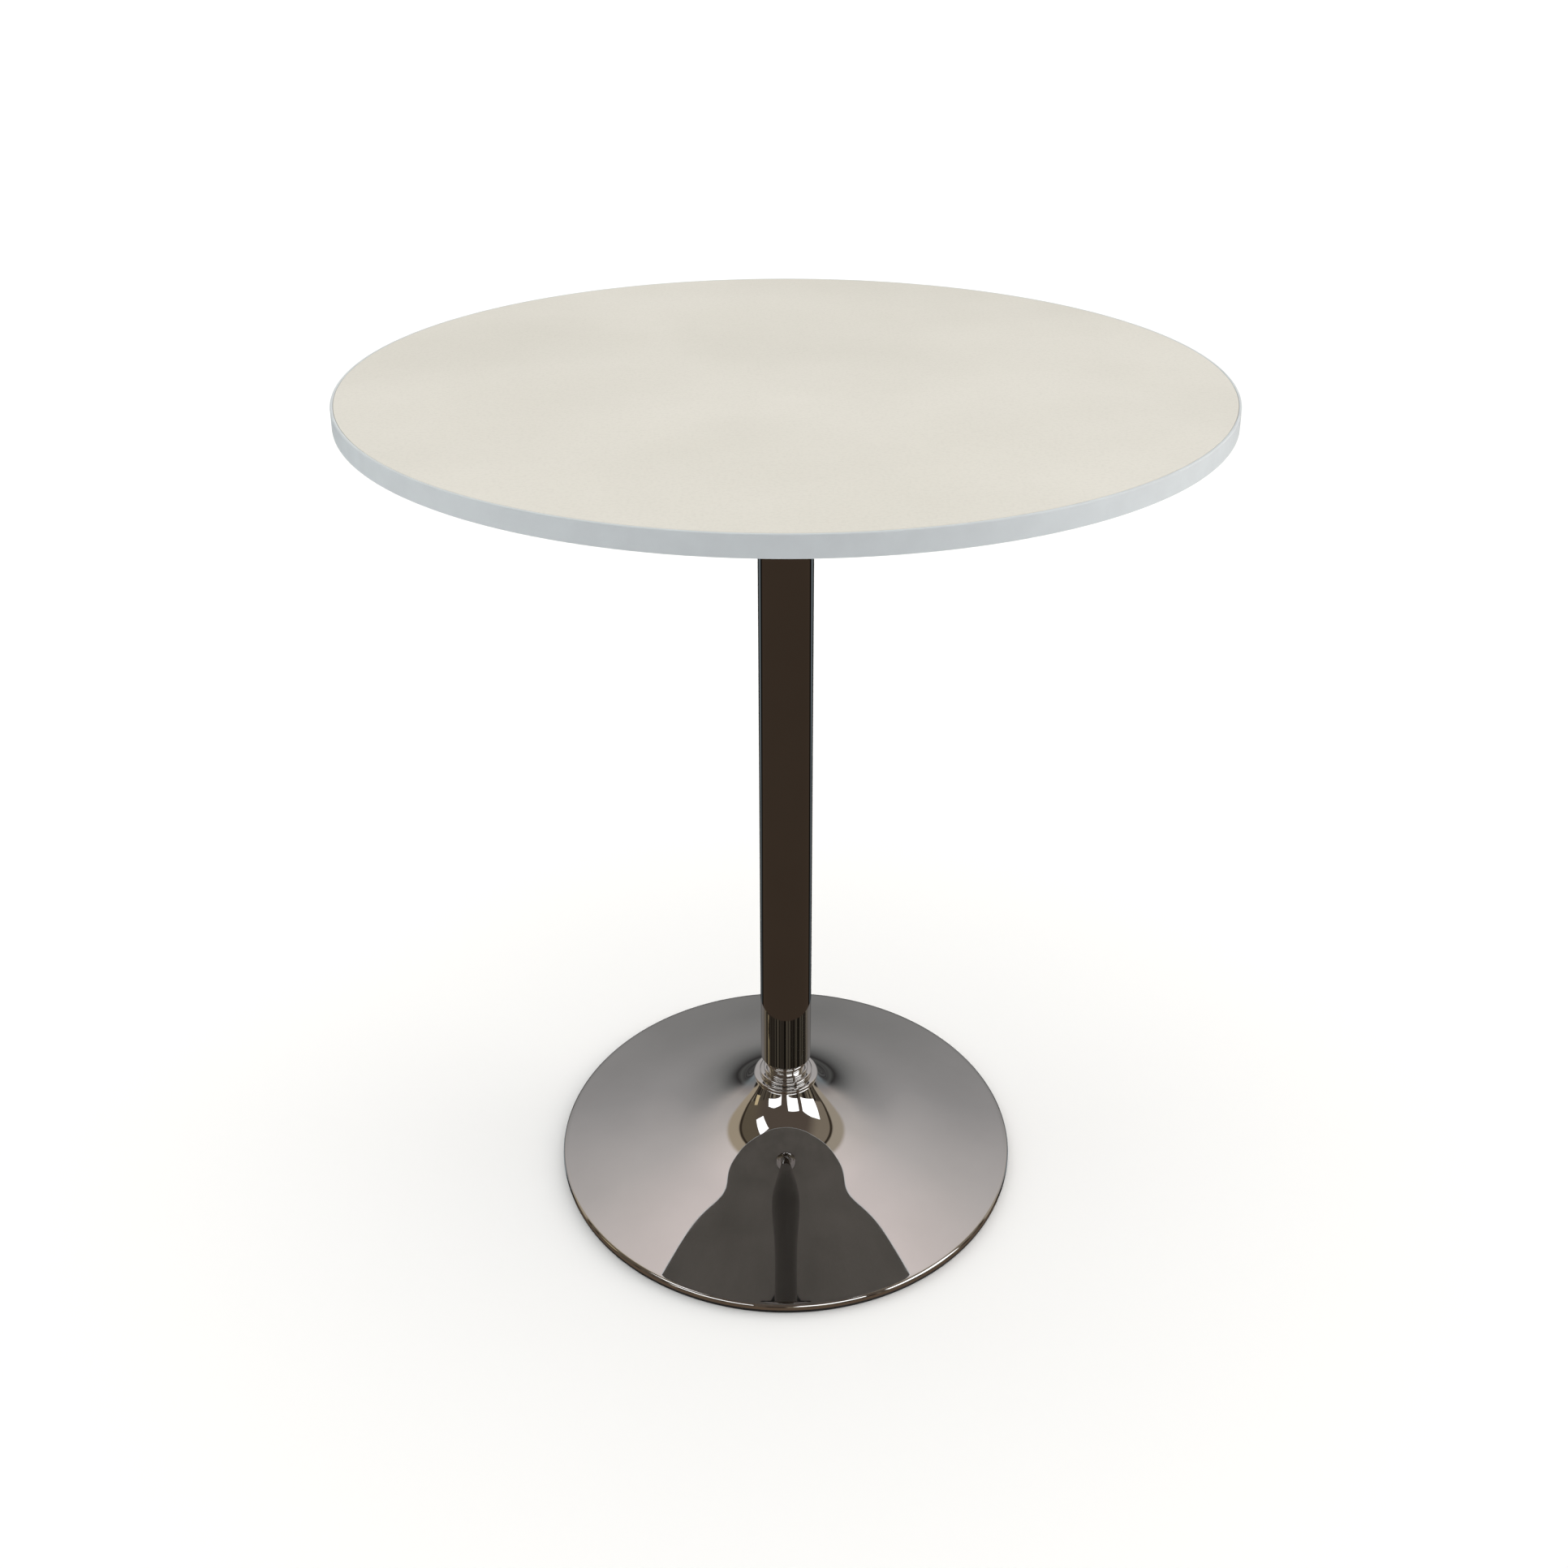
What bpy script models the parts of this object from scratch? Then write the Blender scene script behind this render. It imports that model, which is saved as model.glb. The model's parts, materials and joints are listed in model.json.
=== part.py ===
"""Round bistro table: a laminated disc top on a chromed tube and a chromed trumpet base.

One tie rod runs from the cast weight in the base, up through the tube, to the flange
under the top, and clamps the whole pedestal together. Units are metres, +Z is up, and
the origin is on the floor under the middle of the table.
"""
import math

import bmesh
import bpy
import numpy as np

# ---------------------------------------------------------------- driving dimensions
TABLE_HEIGHT = 0.760
TOP_RADIUS = 0.350
TOP_THICKNESS = 0.016
BASE_RADIUS = 0.2125
TUBE_RADIUS = 0.0235
TUBE_WALL = 0.0015
TUBE_FOOT = 0.099               # height of the tube's lower end

GAP = 0.0003                    # clearance between touching pieces
OVERCUT = 0.001                 # how far a drill reaches past the faces that it cuts

# ---------------------------------------------------------------- top
SKIN_THICKNESS = 0.0008         # laminate above and backing sheet below the core
BAND_THICKNESS = 0.002
BAND_ROUNDING = 0.0008
TOP_UNDERSIDE = TABLE_HEIGHT - TOP_THICKNESS
DISC_RADIUS = TOP_RADIUS - BAND_THICKNESS - GAP

# ---------------------------------------------------------------- flange under the top
FLANGE_RADIUS = 0.065
FLANGE_TOP = TOP_UNDERSIDE - GAP
FLANGE_PLATE = 0.004
HUB_RADIUS = 0.031
HUB_DEPTH = 0.0317              # from the flange's top face down to the hub's mouth
HUB_FILLET = 0.004
FLANGE_ROUNDING = 0.0012
SOCKET_DEPTH = 0.015
WEB_THICKNESS = 0.0044
POCKET_RADIUS = 0.013
SOCKET_CEILING = FLANGE_TOP - HUB_DEPTH + SOCKET_DEPTH
POCKET_FLOOR = SOCKET_CEILING + WEB_THICKNESS

FLANGE_SCREW_COUNT = 6
FLANGE_SCREW_CIRCLE = 0.050
FLANGE_SCREW_SHANK = 0.0020
FLANGE_SCREW_HEAD = 0.0045
FLANGE_SCREW_HEAD_HEIGHT = 0.0026
FLANGE_SCREW_TIP = TOP_UNDERSIDE + 0.0115

# A screw's rounded rim and recess depth as shares of its head's height, its recess as a
# share of its head's radius, and its point's length as a multiple of its shank's radius.
SCREW_RIM_SHARE = 0.45
RECESS_DEPTH_SHARE = 0.4
RECESS_SHARE = 1.1
RECESS_SLOT_SHARE = 0.29        # width of each slot as a share of the recess
SCREW_POINT_LENGTH = 1.6

# ---------------------------------------------------------------- tie rod and its hardware
ROD_RADIUS = 0.005
ROD_HOLE = ROD_RADIUS + 0.0006
ROD_FOOT = 0.0055
NUT_ACROSS_FLATS = 0.017
NUT_HEIGHT = 0.008
WASHER_RADIUS = 0.0105
WASHER_THICKNESS = 0.002
SPRING_WASHER_THICKNESS = 0.0022
SPRING_WASHER_RADIUS = 0.009
SPRING_WASHER_SPLIT = 14.0      # degrees
SPRING_WASHER_RISE = 0.35       # how far its ends stand apart, as a share of its thickness
ROD_OVERHANG = 0.0018           # how far the rod stands out of its top nut
ROD_TOP = POCKET_FLOOR + WASHER_THICKNESS + NUT_HEIGHT + ROD_OVERHANG
ROD_CHAMFER = 0.0008

# ---------------------------------------------------------------- base
SHELL_WALL = 0.0012
SHELL_CROWN = 0.0755            # height of the flat crown that carries the collar
CROWN_RADIUS = 0.030
CROWN_CORNER = 0.0015
CROWN_CORNER_END = 35.0         # degrees above level where the corner meets the trumpet
SHELL_HOLE = 0.016
RIM_ROLL = 0.0035               # radius of the rolled edge
RIM_CENTRE_HEIGHT = 0.0049
RIM_START_ANGLE = 60.0
RIM_END_ANGLE = -35.0
# The trumpet from its crown to its rim: radius and height of the outer surface.
TRUMPET = [
    (0.0300, 0.0744),
    (0.0360, 0.0652),
    (0.0430, 0.0575),
    (0.0510, 0.0514),
    (0.0600, 0.0459),
    (0.0700, 0.0411),
    (0.0820, 0.0367),
    (0.0960, 0.0324),
    (0.1120, 0.0289),
    (0.1300, 0.0255),
    (0.1500, 0.0215),
    (0.1750, 0.0158),
    (0.1970, 0.0110),
    (0.2098, 0.0083),
]
TRUMPET_STEPS = 21
STEP_CROWDING = 1.4             # above 1, steps are finer towards the neck

COVER_RADIUS = 0.195
COVER_BOTTOM = 0.0028
COVER_THICKNESS = 0.0012
WEIGHT_BOTTOM = COVER_BOTTOM + COVER_THICKNESS + GAP
WEIGHT_RADIUS = 0.188
WEIGHT_POCKET_RADIUS = 0.016
WEIGHT_POCKET_CEILING = 0.0192
WEIGHT_CHAMFER = 0.001
# Upper outline of the casting from its boss to its edge: radius and height.
WEIGHT_CREST = [
    (0.040, 0.030),
    (0.060, 0.026),
    (0.090, 0.022),
    (0.140, 0.016),
    (WEIGHT_RADIUS, 0.010),
]
SPACER_OUTER = 0.014
SPACER_INNER = 0.009

COVER_SCREW_COUNT = 4
COVER_SCREW_CIRCLE = 0.150
COVER_SCREW_SHANK = 0.0018
COVER_SCREW_HEAD = 0.0036
COVER_SCREW_HEAD_HEIGHT = 0.0018
COVER_SCREW_TIP = 0.0105

FOOT_INNER = 0.199
FOOT_OUTER = 0.2115
FOOT_UPSTAND_RADIUS = 0.206
FOOT_SOLE = 0.0024
FOOT_UPSTAND_TOP = 0.0055
FOOT_ROUNDING = 0.0006

# ---------------------------------------------------------------- collar between base and tube
TRIM_RADIUS = 0.0305
TRIM_BOTTOM = SHELL_CROWN + GAP
TRIM_TOP = TRIM_BOTTOM + 0.0032
COLLAR_BOTTOM = TRIM_TOP + GAP
# The collar's turned beads from bottom to top: radius, lower height, upper height.
COLLAR_BEADS = [
    (0.0250, COLLAR_BOTTOM, 0.0829),
    (0.0208, 0.0829, 0.0858),
]
WAIST_RADIUS = 0.0176
WAIST_TOP = 0.0905
SHOULDER_RADIUS = 0.0198
SHOULDER_LIP = 0.001            # width of the shoulder's flat top
COLLAR_TOP = TUBE_FOOT - GAP
SPIGOT_RADIUS = TUBE_RADIUS - TUBE_WALL - GAP
SPIGOT_TOP = 0.118
SPIGOT_CHAMFER = 0.002

# ---------------------------------------------------------------- facet counts
TOP_FACETS = 96
BASE_FACETS = 60
ROUND_FACETS = 36
SMALL_FACETS = 12
SPRING_WASHER_FACETS = 20
SHARP_ANGLE = math.radians(32.0)


def clear_scene():
    for item in list(bpy.data.objects):
        bpy.data.objects.remove(item, do_unlink=True)


def principled(name, colour, roughness, metallic):
    material = bpy.data.materials.new(name)
    material.use_nodes = True
    shader = material.node_tree.nodes["Principled BSDF"]
    shader.inputs["Base Color"].default_value = (*colour, 1.0)
    shader.inputs["Roughness"].default_value = roughness
    shader.inputs["Metallic"].default_value = metallic
    return material


def add_object(name, mesh_source, material):
    """Turns a finished bmesh into a named object with smooth, sharp-edged shading."""
    bmesh.ops.recalc_face_normals(mesh_source, faces=mesh_source.faces)
    mesh = bpy.data.meshes.new(name)
    mesh_source.to_mesh(mesh)
    mesh_source.free()
    mesh.shade_smooth()
    mesh.set_sharp_from_angle(angle=SHARP_ANGLE)
    item = bpy.data.objects.new(name, mesh)
    if material:
        mesh.materials.append(material)
    bpy.context.scene.collection.objects.link(item)
    return item


def arc(centre_radius, centre_height, radius, start, end, steps):
    """Points of a circular arc in the radius-height plane, with angles in degrees."""
    angles = np.radians(np.linspace(start, end, steps + 1))
    return [
        (centre_radius + radius * math.cos(a), centre_height + radius * math.sin(a))
        for a in angles
    ]


def natural_spline(stations, steps):
    """A smooth curve of height over radius through the stations, with no end bending."""
    radii = np.array([station[0] for station in stations])
    heights = np.array([station[1] for station in stations])
    spans = np.diff(radii)
    slopes = np.diff(heights) / spans
    count = len(stations)
    system = np.eye(count)
    bends = np.zeros(count)
    for i in range(1, count - 1):
        system[i, i - 1] = spans[i - 1]
        system[i, i] = 2.0 * (spans[i - 1] + spans[i])
        system[i, i + 1] = spans[i]
        bends[i] = 6.0 * (slopes[i] - slopes[i - 1])
    bends = np.linalg.solve(system, bends)

    # Steps are finer towards the neck, where the curve turns fastest.
    share = np.linspace(0.0, 1.0, steps + 1) ** STEP_CROWDING
    curve = []
    for radius in radii[0] + share * (radii[-1] - radii[0]):
        i = min(int(np.searchsorted(radii, radius, side="right")) - 1, count - 2)
        left = radius - radii[i]
        right = radii[i + 1] - radius
        span = spans[i]
        height = (
            (bends[i] * right**3 + bends[i + 1] * left**3) / (6.0 * span)
            + (heights[i] / span - bends[i] * span / 6.0) * right
            + (heights[i + 1] / span - bends[i + 1] * span / 6.0) * left
        )
        curve.append((float(radius), float(height)))
    return curve


def offset_inwards(outline, distance):
    """Moves an outline that runs outwards and down towards its underside."""
    points = np.array(outline)
    along = np.gradient(points, axis=0)
    along /= np.linalg.norm(along, axis=1)[:, None]
    inward = np.column_stack((along[:, 1], -along[:, 0]))
    return [tuple(point) for point in points + inward * distance]


def turned(name, outline, material, facets=ROUND_FACETS, closed=True):
    """Spins an outline of (radius, height) points about the Z axis.

    A closed outline makes a ring. An open one starts and ends on the axis.
    """
    work = bmesh.new()
    points = [work.verts.new((radius, 0.0, height)) for radius, height in outline]
    edges = [work.edges.new(pair) for pair in zip(points, points[1:])]
    if closed:
        edges.append(work.edges.new((points[-1], points[0])))
    bmesh.ops.spin(
        work,
        geom=points + edges,
        cent=(0.0, 0.0, 0.0),
        axis=(0.0, 0.0, 1.0),
        angle=math.tau,
        steps=facets,
        use_merge=True,
    )
    bmesh.ops.remove_doubles(work, verts=work.verts, dist=1e-6)
    return add_object(name, work, material)


def plain_disc(name, radius, bottom, top, material, facets):
    outline = [(0.0, bottom), (radius, bottom), (radius, top), (0.0, top)]
    return turned(name, outline, material, facets, closed=False)


def plain_ring(name, inner, outer, bottom, top, material, facets=ROUND_FACETS):
    outline = [(inner, bottom), (outer, bottom), (outer, top), (inner, top)]
    return turned(name, outline, material, facets)


def circle_places(count, radius, turn=0.0):
    """Evenly spaced places on a circle about the Z axis."""
    angles = [turn + math.tau * i / count for i in range(count)]
    return [(radius * math.cos(a), radius * math.sin(a)) for a in angles]


def cut(target, cutter):
    cutter.hide_render = True
    cutter.display_type = "WIRE"
    hole = target.modifiers.new(cutter.name, "BOOLEAN")
    hole.operation = "DIFFERENCE"
    hole.solver = "EXACT"
    hole.object = cutter


def drill(target, places, radius, bottom, top):
    """Cuts an upright round hole at each place."""
    work = bmesh.new()
    for x, y in places:
        made = bmesh.ops.create_cone(
            work,
            cap_ends=True,
            segments=SMALL_FACETS,
            radius1=radius,
            radius2=radius,
            depth=top - bottom,
        )
        bmesh.ops.translate(work, verts=made["verts"], vec=(x, y, (top + bottom) / 2.0))
    cut(target, add_object(target.name + "_drill", work, None))


def cross_recess(target, size, depth):
    """Cuts a cross slot for a screwdriver into the underside of a screw's head."""
    arm = size / 2.0
    half = RECESS_SLOT_SHARE * arm
    corners = []
    for quarter in range(4):
        turn = math.tau * quarter / 4.0
        for x, y in ((arm, -half), (arm, half), (half, half)):
            corners.append(
                (
                    x * math.cos(turn) - y * math.sin(turn),
                    x * math.sin(turn) + y * math.cos(turn),
                )
            )
    work = bmesh.new()
    face = work.faces.new([work.verts.new((x, y, -depth)) for x, y in corners])
    pulled = bmesh.ops.extrude_face_region(work, geom=[face])
    raised = [part for part in pulled["geom"] if isinstance(part, bmesh.types.BMVert)]
    bmesh.ops.translate(work, verts=raised, vec=(0.0, 0.0, 2.0 * depth))
    cutter = add_object(target.name + "_recess", work, None)
    cutter.parent = target
    cut(target, cutter)


# ---------------------------------------------------------------- the top
def build_top(look):
    core_bottom = TOP_UNDERSIDE + SKIN_THICKNESS + GAP
    core_top = TABLE_HEIGHT - SKIN_THICKNESS - GAP
    core = plain_disc(
        "top_core", DISC_RADIUS, core_bottom, core_top, look["particle_board"], TOP_FACETS
    )
    plain_disc(
        "top_laminate",
        DISC_RADIUS,
        TABLE_HEIGHT - SKIN_THICKNESS,
        TABLE_HEIGHT,
        look["laminate"],
        TOP_FACETS,
    )
    backing = plain_disc(
        "top_backing",
        DISC_RADIUS,
        TOP_UNDERSIDE,
        TOP_UNDERSIDE + SKIN_THICKNESS,
        look["backing"],
        TOP_FACETS,
    )
    places = circle_places(FLANGE_SCREW_COUNT, FLANGE_SCREW_CIRCLE)
    pilot = FLANGE_SCREW_SHANK + GAP
    drill(backing, places, pilot, TOP_UNDERSIDE - OVERCUT, core_bottom)
    drill(core, places, pilot, core_bottom - OVERCUT, FLANGE_SCREW_TIP + GAP)
    build_edge_band(look)


def build_edge_band(look):
    corner = TOP_RADIUS - BAND_ROUNDING
    outline = [(TOP_RADIUS - BAND_THICKNESS, TOP_UNDERSIDE)]
    outline += arc(corner, TOP_UNDERSIDE + BAND_ROUNDING, BAND_ROUNDING, -90.0, 0.0, 1)
    outline += arc(corner, TABLE_HEIGHT - BAND_ROUNDING, BAND_ROUNDING, 0.0, 90.0, 1)
    outline.append((TOP_RADIUS - BAND_THICKNESS, TABLE_HEIGHT))
    turned("edge_band", outline, look["edge_band"], TOP_FACETS)


# ---------------------------------------------------------------- the flange and its screws
def build_flange(look):
    plate_bottom = FLANGE_TOP - FLANGE_PLATE
    mouth = FLANGE_TOP - HUB_DEPTH
    socket = TUBE_RADIUS + GAP
    rounding = FLANGE_ROUNDING
    outline = [(ROD_HOLE, SOCKET_CEILING), (socket, SOCKET_CEILING), (socket, mouth)]
    outline += arc(HUB_RADIUS - rounding, mouth + rounding, rounding, -90.0, 0.0, 1)
    fillet_radius = HUB_RADIUS + HUB_FILLET
    outline += arc(fillet_radius, plate_bottom - HUB_FILLET, HUB_FILLET, 180.0, 90.0, 2)
    outline += arc(FLANGE_RADIUS - rounding, plate_bottom + rounding, rounding, -90.0, 0.0, 1)
    outline += [
        (FLANGE_RADIUS, FLANGE_TOP),
        (POCKET_RADIUS, FLANGE_TOP),
        (POCKET_RADIUS, POCKET_FLOOR),
        (ROD_HOLE, POCKET_FLOOR),
    ]
    flange = turned("top_flange", outline, look["chrome"])
    places = circle_places(FLANGE_SCREW_COUNT, FLANGE_SCREW_CIRCLE)
    clearance = FLANGE_SCREW_SHANK + 2.0 * GAP
    drill(flange, places, clearance, plate_bottom - OVERCUT, FLANGE_TOP + OVERCUT)
    for number, place in enumerate(places, start=1):
        build_screw(
            f"flange_screw_{number}",
            place,
            plate_bottom - GAP - FLANGE_SCREW_HEAD_HEIGHT,
            (FLANGE_SCREW_HEAD, FLANGE_SCREW_HEAD_HEIGHT, FLANGE_SCREW_SHANK),
            FLANGE_SCREW_TIP,
            look["screw_steel"],
        )


def build_screw(name, place, bottom, sizes, tip, material):
    """A pan-head screw that points up, with its head's lowest point at bottom."""
    head_radius, head_height, shank_radius = sizes
    length = tip - bottom
    shank_top = length - SCREW_POINT_LENGTH * shank_radius
    rim = SCREW_RIM_SHARE * head_height
    outline = [(0.0, 0.0)]
    outline += arc(head_radius - rim, rim, rim, -90.0, 0.0, 2)
    outline += [
        (head_radius, head_height),
        (shank_radius, head_height),
        (shank_radius, shank_top),
        (0.0, length),
    ]
    screw = turned(name, outline, material, SMALL_FACETS, closed=False)
    cross_recess(screw, RECESS_SHARE * head_radius, RECESS_DEPTH_SHARE * head_height)
    screw.location = (place[0], place[1], bottom)
    return screw


# ---------------------------------------------------------------- the column
def build_column(look):
    plain_ring(
        "column_tube",
        TUBE_RADIUS - TUBE_WALL,
        TUBE_RADIUS,
        TUBE_FOOT,
        SOCKET_CEILING - GAP,
        look["chrome"],
    )
    outline = [
        (0.0, ROD_FOOT),
        (ROD_RADIUS - ROD_CHAMFER, ROD_FOOT),
        (ROD_RADIUS, ROD_FOOT + ROD_CHAMFER),
        (ROD_RADIUS, ROD_TOP - ROD_CHAMFER),
        (ROD_RADIUS - ROD_CHAMFER, ROD_TOP),
        (0.0, ROD_TOP),
    ]
    turned("tie_rod", outline, look["zinc_steel"], SMALL_FACETS, closed=False)


def build_nut(name, bottom, material):
    """A plain hexagon nut on the rod."""
    corner = NUT_ACROSS_FLATS / math.sqrt(3.0)
    work = bmesh.new()
    bmesh.ops.create_cone(
        work, cap_ends=True, segments=6, radius1=corner, radius2=corner, depth=NUT_HEIGHT
    )
    bmesh.ops.translate(work, verts=work.verts, vec=(0.0, 0.0, bottom + NUT_HEIGHT / 2.0))
    nut = add_object(name, work, material)
    drill(nut, [(0.0, 0.0)], ROD_RADIUS + GAP, bottom - OVERCUT, bottom + NUT_HEIGHT + OVERCUT)
    return nut


def build_top_hardware(look):
    washer_bottom = POCKET_FLOOR + GAP
    washer_top = washer_bottom + WASHER_THICKNESS
    plain_ring(
        "rod_top_washer",
        ROD_HOLE,
        WASHER_RADIUS,
        washer_bottom,
        washer_top,
        look["zinc_steel"],
        SMALL_FACETS,
    )
    build_nut("rod_top_nut", washer_top + GAP, look["zinc_steel"])


def build_spring_washer(name, bottom, material):
    """A split ring of square section whose ends stand apart."""
    gap_angle = math.radians(SPRING_WASHER_SPLIT)
    facets = SPRING_WASHER_FACETS
    rise = SPRING_WASHER_RISE * SPRING_WASHER_THICKNESS
    thickness = SPRING_WASHER_THICKNESS - rise
    work = bmesh.new()
    sections = []
    for step in range(facets + 1):
        share = step / facets
        angle = gap_angle / 2.0 + (math.tau - gap_angle) * share
        low = bottom + rise * share
        section = []
        for radius, height in (
            (ROD_HOLE, low),
            (SPRING_WASHER_RADIUS, low),
            (SPRING_WASHER_RADIUS, low + thickness),
            (ROD_HOLE, low + thickness),
        ):
            place = (radius * math.cos(angle), radius * math.sin(angle), height)
            section.append(work.verts.new(place))
        sections.append(section)
    for near, far in zip(sections, sections[1:]):
        for i in range(4):
            j = (i + 1) % 4
            work.faces.new((near[i], near[j], far[j], far[i]))
    work.faces.new(sections[0])
    work.faces.new(list(reversed(sections[-1])))
    return add_object(name, work, material)


def build_bottom_hardware(look):
    washer_bottom = WEIGHT_POCKET_CEILING - GAP - WASHER_THICKNESS
    spring_bottom = washer_bottom - GAP - SPRING_WASHER_THICKNESS
    plain_ring(
        "rod_bottom_washer",
        ROD_HOLE,
        WASHER_RADIUS,
        washer_bottom,
        washer_bottom + WASHER_THICKNESS,
        look["zinc_steel"],
        SMALL_FACETS,
    )
    build_spring_washer("rod_spring_washer", spring_bottom, look["zinc_steel"])
    build_nut("rod_bottom_nut", spring_bottom - GAP - NUT_HEIGHT, look["zinc_steel"])


# ---------------------------------------------------------------- the collar
def bead(radius, bottom, top):
    """The outer half of a rounded ring between two heights."""
    half = (top - bottom) / 2.0
    return arc(radius - half, bottom + half, half, -90.0, 90.0, 3)


def build_collar(look):
    outline = [(SHELL_HOLE, TRIM_BOTTOM)]
    outline += bead(TRIM_RADIUS, TRIM_BOTTOM, TRIM_TOP)
    outline.append((SHELL_HOLE, TRIM_TOP))
    turned("trim_ring", outline, look["chrome"])

    outline = [(ROD_HOLE, COLLAR_BOTTOM)]
    for radius, bottom, top in COLLAR_BEADS:
        outline += bead(radius, bottom, top)
    outline.append((WAIST_RADIUS, COLLAR_BEADS[-1][2]))
    outline.append((WAIST_RADIUS, WAIST_TOP))
    shoulder_middle = (WAIST_TOP + COLLAR_TOP) / 2.0
    outline += bead(SHOULDER_RADIUS, WAIST_TOP, shoulder_middle)
    outline += bead(SHOULDER_RADIUS, shoulder_middle, COLLAR_TOP)
    outline += [
        (SHOULDER_RADIUS - SHOULDER_LIP, COLLAR_TOP),
        (SPIGOT_RADIUS, TUBE_FOOT + GAP),
        (SPIGOT_RADIUS, SPIGOT_TOP - SPIGOT_CHAMFER),
        (SPIGOT_RADIUS - SPIGOT_CHAMFER, SPIGOT_TOP),
        (ROD_HOLE, SPIGOT_TOP),
    ]
    turned("neck_collar", outline, look["chrome"])


# ---------------------------------------------------------------- the base
def shell_outline():
    """The outer surface of the shell, from its crown's hole out and down to its rim."""
    corner_radius = CROWN_RADIUS - CROWN_CORNER
    outer = [(SHELL_HOLE, SHELL_CROWN), ((SHELL_HOLE + CROWN_RADIUS) / 2.0, SHELL_CROWN)]
    corner_height = SHELL_CROWN - CROWN_CORNER
    outer += arc(corner_radius, corner_height, CROWN_CORNER, 90.0, CROWN_CORNER_END, 2)
    outer += natural_spline(TRUMPET, TRUMPET_STEPS)[1:]
    rim_centre = BASE_RADIUS - RIM_ROLL
    outer += arc(rim_centre, RIM_CENTRE_HEIGHT, RIM_ROLL, RIM_START_ANGLE, RIM_END_ANGLE, 3)
    return outer


def build_shell(look):
    outer = shell_outline()
    inner = offset_inwards(outer, SHELL_WALL)[::-1]
    inner = inner[:1] + inner[1:-1:2] + inner[-1:]
    turned("base_shell", outer + inner, look["chrome"], BASE_FACETS)


def build_weight(look):
    pocket = [
        (ROD_HOLE, WEIGHT_POCKET_CEILING),
        (WEIGHT_POCKET_RADIUS, WEIGHT_POCKET_CEILING),
        (WEIGHT_POCKET_RADIUS, WEIGHT_BOTTOM),
    ]
    edge = [
        (WEIGHT_RADIUS - WEIGHT_CHAMFER, WEIGHT_BOTTOM),
        (WEIGHT_RADIUS, WEIGHT_BOTTOM + WEIGHT_CHAMFER),
    ]
    outline = pocket + edge + WEIGHT_CREST[::-1] + [(ROD_HOLE, WEIGHT_CREST[0][1])]
    weight = turned("base_weight", outline, look["cast_iron"], BASE_FACETS)
    places = circle_places(COVER_SCREW_COUNT, COVER_SCREW_CIRCLE, math.tau / 8.0)
    pilot = COVER_SCREW_SHANK + GAP
    drill(weight, places, pilot, WEIGHT_BOTTOM - OVERCUT, COVER_SCREW_TIP + OVERCUT)
    plain_ring(
        "base_spacer",
        SPACER_INNER,
        SPACER_OUTER,
        WEIGHT_CREST[0][1] + GAP,
        COLLAR_BOTTOM - GAP,
        look["zinc_steel"],
    )


def build_underside(look):
    cover = plain_disc(
        "bottom_cover",
        COVER_RADIUS,
        COVER_BOTTOM,
        COVER_BOTTOM + COVER_THICKNESS,
        look["cover"],
        BASE_FACETS,
    )
    places = circle_places(COVER_SCREW_COUNT, COVER_SCREW_CIRCLE, math.tau / 8.0)
    clearance = COVER_SCREW_SHANK + GAP
    drill(cover, places, clearance, COVER_BOTTOM - OVERCUT, WEIGHT_BOTTOM + OVERCUT)
    for number, place in enumerate(places, start=1):
        build_screw(
            f"cover_screw_{number}",
            place,
            COVER_BOTTOM - GAP - COVER_SCREW_HEAD_HEIGHT,
            (COVER_SCREW_HEAD, COVER_SCREW_HEAD_HEIGHT, COVER_SCREW_SHANK),
            COVER_SCREW_TIP,
            look["screw_steel"],
        )
    corner = FOOT_OUTER - FOOT_ROUNDING
    outline = [(FOOT_INNER, 0.0)]
    outline += arc(corner, FOOT_ROUNDING, FOOT_ROUNDING, -90.0, 0.0, 1)
    outline += arc(corner, FOOT_SOLE - FOOT_ROUNDING, FOOT_ROUNDING, 0.0, 90.0, 1)
    outline += [
        (FOOT_UPSTAND_RADIUS, FOOT_SOLE),
        (FOOT_UPSTAND_RADIUS, FOOT_UPSTAND_TOP),
        (FOOT_INNER, FOOT_UPSTAND_TOP),
    ]
    turned("floor_ring", outline, look["rubber"], BASE_FACETS)


def make_looks():
    return {
        "laminate": principled("ivory_laminate", (0.76, 0.71, 0.63), 0.45, 0.0),
        "particle_board": principled("particle_board", (0.45, 0.32, 0.19), 0.85, 0.0),
        "backing": principled("brown_backing", (0.055, 0.045, 0.038), 0.6, 0.0),
        "edge_band": principled("white_edge_band", (0.70, 0.74, 0.77), 0.4, 0.0),
        "chrome": principled("chrome", (0.78, 0.77, 0.76), 0.05, 1.0),
        "zinc_steel": principled("zinc_steel", (0.60, 0.60, 0.58), 0.35, 1.0),
        "screw_steel": principled("screw_steel", (0.52, 0.51, 0.49), 0.35, 1.0),
        "cast_iron": principled("cast_iron", (0.06, 0.06, 0.06), 0.8, 0.4),
        "cover": principled("black_cover", (0.03, 0.03, 0.03), 0.6, 0.0),
        "rubber": principled("black_rubber", (0.02, 0.02, 0.02), 0.8, 0.0),
    }


def main():
    clear_scene()
    look = make_looks()
    build_top(look)
    build_flange(look)
    build_column(look)
    build_top_hardware(look)
    build_bottom_hardware(look)
    build_collar(look)
    build_shell(look)
    build_weight(look)
    build_underside(look)


main()
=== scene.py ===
"""Looks of the round bistro table: fine chrome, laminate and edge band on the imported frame."""

import json
import math

import bmesh
import bpy
import numpy as np
from mathutils import Matrix, Vector


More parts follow.
